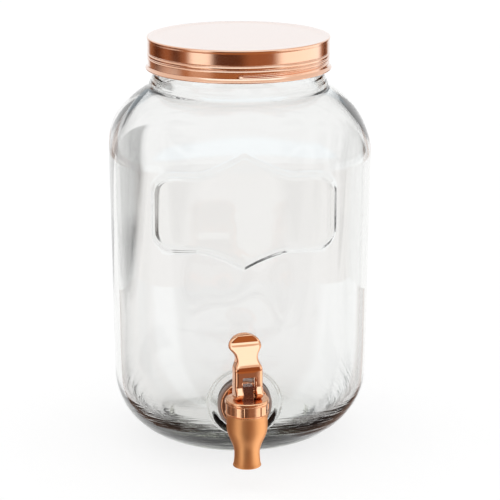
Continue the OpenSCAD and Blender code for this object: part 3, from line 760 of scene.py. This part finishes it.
def shape_barrel():
    outside = rounded([(8.9, 0, 0), (10.83, 0, 0.7), (barrel_half(2), 2, 0)], 5)
    outside += [(barrel_half(h), h) for h in spaced(3, 41, 1.0)]
    outside += rounded([(BARREL_R, 41.5, 0), (BARREL_R, 42.7, 0.4), (14.3, 42.7, 0.15), (14.3, 48.9, 0.6),
                        (12.0, 48.9, 0.2), (12.0, 29.0, 0)], 3)[1:]
    inside = [(7.5, 22.0), (7.5, 1.4)]
    line = [(r, OUTLET_Z + h) for r, h in outside + inside]
    barrel = make_object("tap_barrel", turned(line, (0, TAP_AXIS_Y, 0), (0, 0, 1), 128), sharp=35)
    shank = shape_shank()
    port = make_object("port", turned([(0, -137), (5, -137), (5, -75), (0, -75)], (0, 0, TAP_Z),
                                      (0, 1, 0), 64, closed=False), sharp=35)
    combine(barrel, shank, "UNION")
    combine(barrel, port, "DIFFERENCE")
    barrel.data.materials.clear()
    barrel.data.materials.append(satin_finish)
    barrel.data.materials.append(mirror_finish)
    for face in barrel.data.polygons:
        face.material_index = 1 if face.center.y > (FLANGE_Y - FLANGE_T - 1) * MM else 0
        face.use_smooth = True
    barrel.data.set_sharp_from_angle(angle=math.radians(35))
    return barrel


finish_piece(shape_barrel(), "jar", "satin_copper", satin_finish, "tap_body")

# %% [markdown]
# ### Screw cap over the barrel
# A moulded cap with raised grip lugs, five round the band, then a groove and a flat disc that the
# lever's foot rides on. The lugs are the band's own vertices moved outwards.

# %% Tap cap
CAP_LOW, LUG_TOP, CAP_TOP, BAND_R, GROOVE_R, DISC_R = 61.3, 69.5, 72.5, 16.0, 15.3, 16.65
LUG_COUNT, LUG_FIRST, LUG_WIDE, LUG_OUT = 5, -111.5, 23.0, 0.55


def shape_cap():
    corners = [(14.45, 68.2, 0), (14.45, CAP_LOW, 0.15), (BAND_R, CAP_LOW, 0.3),
               (BAND_R, LUG_TOP, 0.3), (GROOVE_R, LUG_TOP, 0.1), (GROOVE_R, LUG_TOP + 0.8, 0.1),
               (DISC_R, LUG_TOP + 0.8, 0.4), (DISC_R, CAP_TOP, 0.7), (3.05, CAP_TOP, 0.2),
               (3.05, 70.2, 0), (5.1, 70.2, 0), (5.1, 68.2, 0)]
    line = rounded(corners, 4)
    tall = [(BAND_R, z) for z in spaced(CAP_LOW + 0.6, LUG_TOP - 0.6, 1.0)]
    at = next(i for i, p in enumerate(line) if p[0] > BAND_R - 0.01 and p[1] > 65)
    line[at:at] = tall
    bm = turned(line, (0, TAP_AXIS_Y, 0), (0, 0, 1), 240)
    for v in bm.verts:
        x, y = v.co.x, v.co.y - TAP_AXIS_Y
        r, angle = math.hypot(x, y), math.degrees(math.atan2(y, x))
        if not (r > 15.6 and CAP_LOW + 0.02 < v.co.z < LUG_TOP - 0.02):
            continue
        pitch = 360 / LUG_COUNT
        off = abs((angle - LUG_FIRST + pitch / 2) % pitch - pitch / 2)
        out = LUG_OUT * smooth((LUG_WIDE / 2 + 0.8 - off) / 1.6) - 0.05
        v.co.x, v.co.y = x * (r + out) / r, TAP_AXIS_Y + y * (r + out) / r
    return make_object("tap_cap_band", bm, sharp=30)


finish_piece(shape_cap(), "jar", "polished_copper", sheen_finish, "tap_cap")

# %% [markdown]
# ### Washers and seal
# Each is a flat ring with slightly rounded edges: one rectangle with its corners turned into arcs, spun
# round the shank or the jar's axis. A cylinder with a hole would need a Boolean and a bevel for the same.

# %% Washers and seal
def shape_ring(name, r_in, r_out, low, high, centre, axis, edge):
    line = rounded([(r_in, (low + high) / 2, 0), (r_in, low, edge), (r_out, low, edge),
                    (r_out, high, edge), (r_in, high, edge), (r_in, (low + high) / 2, 0)], 4)[:-1]
    return make_object(name, turned(line, centre, axis, 128), sharp=50)


SHANK = ((0, 0, TAP_Z), (0, 1, 0))
WASHER_IN, WASHER_OUT, CLAMP_OUT, INNER_END_Y, CLAMP_END_Y = 8.05, 21.0, 15.0, -94.8, -93.6
SEAL_IN, SEAL_OUT, SEAL_LOW, SEAL_TOP = 61.0, 72.1, 327.53, 329.63
finish_piece(shape_ring("washer_outside", WASHER_IN, WASHER_OUT, FLANGE_Y, BOSS_Y, *SHANK, 0.6),
             "jar", "grey_silicone", silicone_finish, "outer_washer")
finish_piece(shape_ring("washer_inside", WASHER_IN, WASHER_OUT, INNER_FACE_Y, INNER_END_Y, *SHANK, 0.7),
             "jar", "grey_silicone", silicone_finish, "inner_washer")
finish_piece(shape_ring("washer_clamp", WASHER_IN, CLAMP_OUT, INNER_END_Y, CLAMP_END_Y, *SHANK, 0.25),
             "jar", "steel", steel_finish, "clamp_washer")
finish_piece(shape_ring("seal_ring", SEAL_IN, SEAL_OUT, SEAL_LOW, SEAL_TOP, (0, 0, 0), (0, 0, 1), 0.5),
             "lid_seal", "grey_silicone", silicone_finish, "lid_seal")

# %% [markdown]
# ### Return spring
# A coil of round stainless wire. A small circle is spun round the stem's axis and lifted at each step,
# which is all that a screw form needs. When the lever is tilted the coil is squeezed against the washer
# above it.

# %% Return spring
SPRING_LOW, SPRING_TOP, WIRE_R, COIL_R, COILS = 52.35, 67.35, 0.55, 7.0, 5


def shape_spring(per_turn=28):
    bm = bmesh.new()
    start = Matrix.Translation((COIL_R, TAP_AXIS_Y, SPRING_LOW + WIRE_R))
    circle = bmesh.ops.create_circle(bm, segments=10, radius=WIRE_R, cap_ends=True,
                                     matrix=start @ Matrix.Rotation(math.pi / 2, 4, "X"))
    face = circle["verts"][0].link_faces[0]
    rise = (SPRING_TOP - SPRING_LOW - 2 * WIRE_R) / (COILS * per_turn)
    bmesh.ops.spin(bm, geom=list(face.verts) + list(face.edges) + [face], cent=(0, TAP_AXIS_Y, 0),
                   axis=(0, 0, 1), dvec=(0, 0, rise), angle=2 * math.pi * COILS, steps=COILS * per_turn)
    bmesh.ops.remove_doubles(bm, verts=bm.verts, dist=1e-4)
    inner = [f for f in bm.faces if len(f.verts) > 4]
    print("spring end faces", len(inner))
    bmesh.ops.recalc_face_normals(bm, faces=bm.faces)
    return make_object("spring_coil", bm, sharp=60)


spring = shape_spring()
finish_piece(spring, "jar", "steel", steel_finish, "return_spring")
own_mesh(spring)

# %% [markdown]
# ## The lever
# Seen from the side the lever is a curved bar: a cam foot, a straight fork, a bend and a paddle that
# leans back and ends in an upright thumb edge. Seen from the front it has a waist and a round head. Two
# functions hold those two views, as a pattern maker's two drawings would.

# %% The lever's two views
PIVOT_Z, TILT, TWIST = 77.8, math.radians(75), math.radians(14)
FORK_HALF, FORK_GAP, WAIST_HALF, HEAD_HALF = 11.1, 11.0, 8.65, 13.0
FORK_END, WAIST_UP, HEAD_UP, TIP_UP = 19.0, 26.5, 35.3, 44.6
FOOT_H, CAM_RISE = 5.0, 4.5 / math.radians(75)
FRONT_Y, CREASE_UP, BEND_UP, BEND, WINDOW_UP, CROWN = -6.8, 5.6, 17.0, 0.45, 13.6, 0.9


def lever_half(h):
    if h <= FORK_END:
        return FORK_HALF
    if h <= WAIST_UP:
        return mix(FORK_HALF, WAIST_HALF, smooth((h - FORK_END) / (WAIST_UP - FORK_END)))
    if h <= HEAD_UP:
        t = ((h - WAIST_UP) / (HEAD_UP - WAIST_UP)) ** 1.35
        return mix(WAIST_HALF, HEAD_HALF, (1 - math.cos(math.pi * t)) / 2)
    return HEAD_HALF * math.sqrt(max(0.0, 1 - min(1.0, (h - HEAD_UP) / (TIP_UP - HEAD_UP)) ** 2))


def lever_side():
    """The side view, (depth, height) from the pivot, going round from the foot's bottom."""
    outline = []
    for a in spaced(0, TILT, TILT / 12):
        reach = FOOT_H + CAM_RISE * a
        outline.append((-reach * math.sin(a) - CAM_RISE * math.cos(a),
                        -reach * math.cos(a) + CAM_RISE * math.sin(a)))
    outline += [(FRONT_Y, h) for h in spaced(CREASE_UP, BEND_UP, 1.6)]
    for t in spaced(0.0, 1.0, 1 / 14)[1:]:
        bent = t * t / (2 * BEND) if t < BEND else t - BEND / 2
        outline.append((mix(FRONT_Y, 4.9, bent / (1 - BEND / 2)), mix(BEND_UP, 38.4, t)))
    outline += rounded([(4.9, 38.4, 0), (5.5, 43.6, 0.9), (8.2, TIP_UP - 0.03, 1.2),
                        (11.4, TIP_UP - 0.1, 0.8), (10.9, 41.8, 0)], 4)[1:]
    outline += [(mix(3.8, 12.0, ((h - 14) / 31.6) ** 1.3), h) for h in reversed(spaced(15, 40.5, 1.7))]
    outline += [(4.4, h) for h in (12, 8, 4, 0)]
    outline += [(1.4 + 3 * math.cos(a), -2 - 3 * math.sin(a)) for a in spaced(0, math.pi / 2, 0.26)]
    return outline


print("points in the lever's side view:", len(lever_side()))

# %% [markdown]
# ### Cut the lever from its views
# The side view is one face, extruded across the width, with the long edges bevelled while the bar is
# still straight. Level and upright cuts give it vertices to bend, its front is crowned a little, and
# each vertex is drawn in or out to the front view's width. A cutter then opens the fork. Sculpting
# could give the same bar, but not the cam's exact curve.

# %% Lever
def place_at(bm, matrix):
    bmesh.ops.transform(bm, matrix=matrix, verts=bm.verts)
    return bm


def shape_fork_window():
    """The block that opens the fork, rounded at its top."""
    cutter = bmesh.new()
    bmesh.ops.create_cube(cutter, size=1.0)
    bmesh.ops.scale(cutter, vec=(FORK_GAP, 40, WINDOW_UP + 12), verts=cutter.verts)
    bmesh.ops.translate(cutter, vec=(0, 0, (WINDOW_UP - 12) / 2), verts=cutter.verts)
    corners = [e for e in cutter.edges if all(v.co.z > 0 for v in e.verts)
               and abs(e.verts[0].co.x - e.verts[1].co.x) < 1e-6]
    bmesh.ops.bevel(cutter, geom=corners, offset=1.0, segments=4, profile=0.5, affect="EDGES",
                    material=-1)
    return cutter


def shape_lever():
    bm = bmesh.new()
    face = bm.faces.new([bm.verts.new((-FORK_HALF, y, h)) for y, h in lever_side()])
    made = bmesh.ops.extrude_face_region(bm, geom=[face])
    far_side = [g for g in made["geom"] if isinstance(g, bmesh.types.BMVert)]
    bmesh.ops.translate(bm, vec=(2 * FORK_HALF, 0, 0), verts=far_side)
    bmesh.ops.recalc_face_normals(bm, faces=bm.faces)
    rims = [e for e in bm.edges if abs(e.verts[0].co.x - e.verts[1].co.x) < 1e-6]
    bmesh.ops.bevel(bm, geom=rims, offset=2.3, offset_type="OFFSET", segments=6, profile=0.5,
                    affect="EDGES", material=-1)
    cuts = [((0, 0, h), (0, 0, 1)) for h in spaced(17.5, 43.0, 0.75) + [43.4, 43.8, 44.1, 44.3, 44.45]]
    cuts += [((x, 0, 0), (1, 0, 0)) for x in spaced(-8.8, 8.8, 1.1)]
    for place, normal in cuts:
        bmesh.ops.bisect_plane(bm, geom=bm.verts[:] + bm.edges[:] + bm.faces[:], dist=1e-4,
                               plane_co=place, plane_no=normal)
    for v in bm.verts:
        crown = 1 - (v.co.x / FORK_HALF) ** 2
        if v.co.y < 3.5 and v.co.z > 4:
            v.co.y -= CROWN * crown * smooth((v.co.z - 4) / 6)
        v.co.x *= lever_half(v.co.z) / FORK_HALF
    bmesh.ops.remove_doubles(bm, verts=bm.verts, dist=0.01)
    turn = Matrix.Translation((0, TAP_AXIS_Y, PIVOT_Z)) @ Matrix.Rotation(TWIST, 4, "Z")
    lever = make_object("tap_handle", place_at(bm, turn), sharp=32)
    combine(lever, make_object("fork_cutter", place_at(shape_fork_window(), turn)), "DIFFERENCE")
    return lever


lever = shape_lever()
finish_piece(lever, "lever", "polished_copper", mirror_finish, "tap_lever")

# %% [markdown]
# ## Finishes on the solids that stay
# The pieces inside the tap and the hexagon nut have their right shape already, so the CAD solids stay
# and only get their finish.

# %% Dress the remaining solids
KEPT = {"shank_nut": steel_finish, "gland_washer": steel_finish, "pivot_pin": mirror_finish,
        "valve_stem": stem_finish, "seat_cup": rubber_finish, "stem_oring": rubber_finish,
        "cap_gasket": silicone_finish}
for name, finish in KEPT.items():
    for material_slot in nodes[name].material_slots:
        material_slot.material = finish
    print(name, "is", finish.name)

# %% [markdown]
# ## Floor, light and camera
# A pale matt floor under an even white sky. To the camera, to reflections and through the glass the
# floor also glows a little, so that it stays as white as the sky and still takes the jar's soft shadow.

# %% Floor and sky
def shape_plane(name, corners):
    bm = bmesh.new()
    bm.faces.new([bm.verts.new(c) for c in corners])
    mesh = bpy.data.meshes.new(name)
    bm.to_mesh(mesh)
    bm.free()
    obj = bpy.data.objects.new(name, mesh)
    bpy.context.scene.collection.objects.link(obj)
    return obj


def floor_material():
    material = new_material("matt_white_table")
    path = add_node(material, "ShaderNodeLightPath")
    seen = add_node(material, "ShaderNodeMath", {"operation": "MAXIMUM"},
                    links={0: path.outputs["Is Camera Ray"], 1: path.outputs["Is Transmission Ray"]})
    seen = add_node(material, "ShaderNodeMath", {"operation": "MAXIMUM"},
                    links={0: seen.outputs[0], 1: path.outputs["Is Glossy Ray"]})
    share = add_node(material, "ShaderNodeMath", {"operation": "MULTIPLY"}, {1: 0.7},
                     {0: seen.outputs[0]})
    matt = add_node(material, "ShaderNodeBsdfDiffuse", None, {"Color": (0.9, 0.9, 0.9, 1)})
    white = add_node(material, "ShaderNodeEmission", None, {"Color": (1, 1, 1, 1), "Strength": 1.09})
    add_node(material, "ShaderNodeMixShader", None, None,
             {0: share.outputs[0], 1: matt.outputs[0], 2: white.outputs[0]}, "Surface")
    return material


FLOOR_Z, FLOOR_REACH = -0.0004, 12.0
floor = shape_plane("floor", [(x * FLOOR_REACH, y * FLOOR_REACH, FLOOR_Z)
                              for x, y in ((-1, -1), (1, -1), (1, 1), (-1, 1))])
floor.data.materials.append(floor_material())

world = bpy.data.worlds.new("white_sky")
bpy.context.scene.world = world
world.use_nodes = True
sky = world.node_tree.nodes["Background"]
sky.inputs["Color"].default_value = (1, 1, 1, 1)
sky.inputs["Strength"].default_value = 1.0
print("floor", FLOOR_REACH * 2, "m wide")

# %% [markdown]
# ### Painted light round the jar
# Bright metal has no colour of its own to show: what is seen is the room. Here the room's highlights and
# shade are painted: glowing sheets that only reflected rays see paint highlights and shade into the metal,
# and leave the floor, the shadow and the background alone. Each holds its colour, and how solid it is, in
# an attribute of its mesh, which lets it fade at the edges without an image texture.

# %% Sheets that one kind of ray sees
def stage_sheet(name, grid, shade_at, seen_by):
    """A sheet of painted light through a grid of places; shade_at(place) gives its colour and how solid it
    is.
    """
    bm = bmesh.new()
    layer = bm.loops.layers.float_color.new("glow")
    rows = [[bm.verts.new(place) for place in row] for row in grid]
    for low, high in zip(rows, rows[1:]):
        for i in range(len(low) - 1):
            face = bm.faces.new((low[i], low[i + 1], high[i + 1], high[i]))
            for loop in face.loops:
                loop[layer] = shade_at(loop.vert.co)
    mesh = bpy.data.meshes.new(name)
    bm.to_mesh(mesh)
    bm.free()
    sheet = bpy.data.objects.new(name, mesh)
    bpy.context.scene.collection.objects.link(sheet)
    # Painted light: the sheet glows in its own colour where it is solid and is clear elsewhere
    material = new_material(name + "_cloth")
    glow = add_node(material, "ShaderNodeAttribute", {"attribute_name": "glow"})
    light = add_node(material, "ShaderNodeEmission", None, {"Strength": 1.0},
                     {"Color": glow.outputs["Color"]})
    clear = add_node(material, "ShaderNodeBsdfTransparent")
    add_node(material, "ShaderNodeMixShader", None, None,
             {0: glow.outputs["Alpha"], 1: clear.outputs[0], 2: light.outputs[0]}, "Surface")
    mesh.materials.append(material)
    for kind in ("camera", "diffuse", "glossy", "transmission", "volume_scatter", "shadow"):
        setattr(sheet, "visible_" + kind, kind == seen_by)
    print("sheet", name, "for", seen_by, "rays, faces", len(mesh.polygons))


def heading(turn, reach, centre=(0.0, 0.0)):
    """The place at a reach from the centre, the turn counted from the front towards the right."""
    a = math.radians(turn)
    return centre[0] + reach * math.sin(a), centre[1] - reach * math.cos(a)


def turn_of(place, centre=(0.0, 0.0)):
    return math.degrees(math.atan2(place[0] - centre[0], centre[1] - place[1]))


def between(value, low, high, soft):
    """1 inside low..high, falling smoothly to 0 within soft outside it."""
    return smooth((value - low) / soft + 1) * smooth((high - value) / soft + 1)


print("30 degrees to the right and 0.9 m off:", [round(c, 2) for c in heading(30, 0.9)])

# %% [markdown]
# ### Painted highlights and shade in the metal
# A ring of sheets stands 0.9 m off, listed by its turn from the front towards the right: the white ones
# paint highlights, and the dark and tan ones paint shade into what the metal mirrors. The tap mirrors the
# floor close by, so it has a paler ring of painted reflection of its own, and the lid's top and the lever's
# face each mirror one painted highlight. Below the ring the sheets are clay brown, a painted brown
# reflection that the leaning skirt of the lid picks up.

# %% Painted highlights and shade in reflections
# Painted reflections: dark and tan paint shade, the pale tones paint highlights, and the brown paints the
# lid skirt's reflection
DARK, TAN, SKY, PAINTED_HIGHLIGHT = (0.09, 0.026, 0.01), (0.36, 0.15, 0.065), (1.0, 1.0, 1.0), (1.5, 1.6, 1.65)
PAINTED_BROWN = (0.5, 0.24, 0.1)
ROUND = [(-180, SKY), (-158, SKY), (-144, TAN), (-122, DARK), (-100, TAN), (-84, DARK), (-70, TAN),
         (-58, PAINTED_HIGHLIGHT), (-40, PAINTED_HIGHLIGHT), (-30, DARK), (-4, DARK), (14, TAN), (38, TAN), (54, PAINTED_HIGHLIGHT), (112, PAINTED_HIGHLIGHT),
         (124, TAN), (133, DARK), (141, TAN), (148, SKY), (180, SKY)]


def glow_round(turn):
    for (a, low), (b, high) in zip(ROUND, ROUND[1:]):
        if a <= turn <= b:
            t = smooth((turn - a) / (b - a))
            return (*(mix(x, y, t) for x, y in zip(low, high)), 1)
    return (*SKY, 1)


def greyer(tone, share):
    grey = sum(tone[:3]) / 3 + 0.2
    return (*(mix(c, grey, share) for c in tone[:3]), tone[3])


def front_painted_brown(place):
    return (*PAINTED_BROWN, between(abs(turn_of(place)), 0, 70, 20))


def wall_painted_reflection(place):
    return glow_round(turn_of(place)) if place[2] > 0.08 else front_painted_brown(place)


def tap_reflection_shade(place):
    return greyer(glow_round(turn_of(place, TAP_AT)), 0.35)


def top_painted_highlight(place):
    return (1.5, 2.1, 2.5, between(turn_of(place), -45, 55, 14) * between(place[2], 0.72, 1.0, 0.15))


TAP_AT, RING_R, FULL_TURN = (0.0, TAP_AXIS_Y * MM), 0.9, spaced(-180, 180, 2)
# Painted reflections for the metal; none of these sheets lights anything
stage_sheet("painted_reflection_wall", [[(*heading(a, RING_R), z) for a in FULL_TURN]
                            for z in (-0.0002, 0.06, 0.1, 0.36)], wall_painted_reflection, "glossy")
stage_sheet("painted_reflection_floor", [[(*heading(a, r), -0.0002) for a in FULL_TURN] for r in (0.6, RING_R)],
            front_painted_brown, "glossy")
stage_sheet("tap_painted_reflection_sheet", [[(*heading(a, r, TAP_AT), -0.0003) for a in spaced(-140, 150, 2)]
                        for r in (0.026, 0.6)], tap_reflection_shade, "glossy")
stage_sheet("back_painted_highlight", [[(*heading(a, RING_R), z) for a in spaced(150, 210, 4)] for z in (0.44, 0.7)],
            lambda place: (1.03, 1.12, 1.18, 1), "glossy")
stage_sheet("front_top_painted_highlight", [[(*heading(a, 1.2 * math.cos(e)), 0.1 + 1.2 * math.sin(e))
                               for a in spaced(-70, 70, 5)]
                              for e in (math.radians(d) for d in spaced(20, 62, 3))],
            top_painted_highlight, "glossy")

# %% [markdown]
# ### Painted shade behind the glass
# Clear glass shows as dark lines where it bends the view past the edge of the white table. So sheets of
# painted shade lie on the floor and hang on the walls, seen only by rays that came through the glass, and a
# ring under the foot paints the contact shadow seen through the heel. They keep clear of the four
# directions in which a flat wall shows the background straight through.

# %% Painted shade that rays through the glass see
# Tints of the painted shade seen through the glass
GREEN_GREY, PLUM_GREY, BLACK = (0.035, 0.038, 0.03), (0.03, 0.02, 0.026), (0.0, 0.0, 0.0)
AXIS_CLEAR, HALF_TURN = 0.15, 22.5


def wedge(place, middle, soft=0.03):
    """How far inside a wedge that keeps clear of the axes on both sides of its middle."""
    tip = heading(middle, AXIS_CLEAR / math.sin(math.radians(HALF_TURN)))
    off = abs((turn_of(place, tip) - middle + 180) % 360 - 180)
    reach = math.hypot(place[0] - tip[0], place[1] - tip[1])
    return smooth(reach * math.sin(math.radians(HALF_TURN - off)) / soft) if off < HALF_TURN else 0.0


# Painted shade on the floor, seen only through the glass
def floor_cloth(place):
    reach, turn = math.hypot(place[0], place[1]), turn_of(place)
    fade = mix(0.55, 1.0, smooth((0.8 - reach) / 0.15)) * smooth((1.6 - reach) / 0.2)
    dark = wedge(place, -157.5) * fade
    side = max(wedge(place, m) for m in (-112.5, -67.5, -22.5, 22.5)) * smooth((1.4 - reach) / 0.3)
    tone = BLACK if dark > side else GREEN_GREY if turn < 0 else PLUM_GREY
    return (*tone, max(dark, (0.5 if turn < 0 else 0.8) * side))


# Painted contact shadow in a ring under the heel, seen only through the glass
def foot_cloth(place):
    reach, turn = math.hypot(place[0], place[1]), turn_of(place)
    tone = [mix(a, b, smooth((turn + 30) / 60)) for a, b in zip(GREEN_GREY, PLUM_GREY)]
    return (*tone, 0.7 * between(reach, 0.062, 0.094, 0.012) * between(turn, -55, 55, 30))


# Painted shade hung on the walls, seen only through the glass
def wall_cloth(place):
    turn, z = turn_of(place), place[2]
    low_back = between(turn, -176, -152, 6) * between(z, 0.36, 0.56, 0.05)
    left = between(turn, -146, -102, 6) * between(z, 0.0, 0.9, 0.1)
    right = between(turn, 56, 136, 6) * between(z, 0.06, 0.9, 0.1)
    tone = BLACK if low_back > left else PLUM_GREY if turn < 0 else GREEN_GREY
    return (*tone, max(low_back, 0.5 * left, 0.7 * right))


SHADE_STEP = 0.02
stage_sheet("floor_cloth", [[(x, y, 0.0002) for x in spaced(-1.4, 1.4, SHADE_STEP)]
                            for y in spaced(-1.2, 1.6, SHADE_STEP)], floor_cloth, "transmission")
stage_sheet("foot_cloth", [[(*heading(a, r), 0.0001) for a in spaced(-180, 180, 4)]
                           for r in spaced(0.048, 0.112, 0.004)], foot_cloth, "transmission")
stage_sheet("wall_cloth", [[(*heading(a, 1.6), z) for a in FULL_TURN]
                           for z in spaced(0.0, 1.05, 0.05)], wall_cloth, "transmission")

# %% [markdown]
# ### Camera
# A long lens about two metres off, a little left of the middle and looking down by 15 degrees, so that
# the jar's upright sides stay nearly parallel. Depth of field stays off.

# %% Camera
CAMERA_AT, YAW, PITCH, PAN = Vector((-0.0807, -1.8482, 0.6374)), math.radians(2.5), 0.256, -0.005
camera = bpy.data.objects.new("camera", bpy.data.cameras.new("camera"))
bpy.context.scene.collection.objects.link(camera)
camera.data.lens, camera.data.sensor_width = 167.89, 36.0
forward = Vector((math.sin(YAW) * math.cos(PITCH), math.cos(YAW) * math.cos(PITCH), -math.sin(PITCH)))
forward.rotate(Matrix.Rotation(PAN, 3, "Z"))
camera.location = CAMERA_AT
camera.rotation_mode = "QUATERNION"
camera.rotation_quaternion = forward.to_track_quat("-Z", "Y")
camera.data.clip_start, camera.data.clip_end = 0.05, 60.0
bpy.context.scene.camera = camera
bpy.context.scene.view_settings.view_transform = "Standard"
print("camera to jar:", round(CAMERA_AT.length, 2), "m")
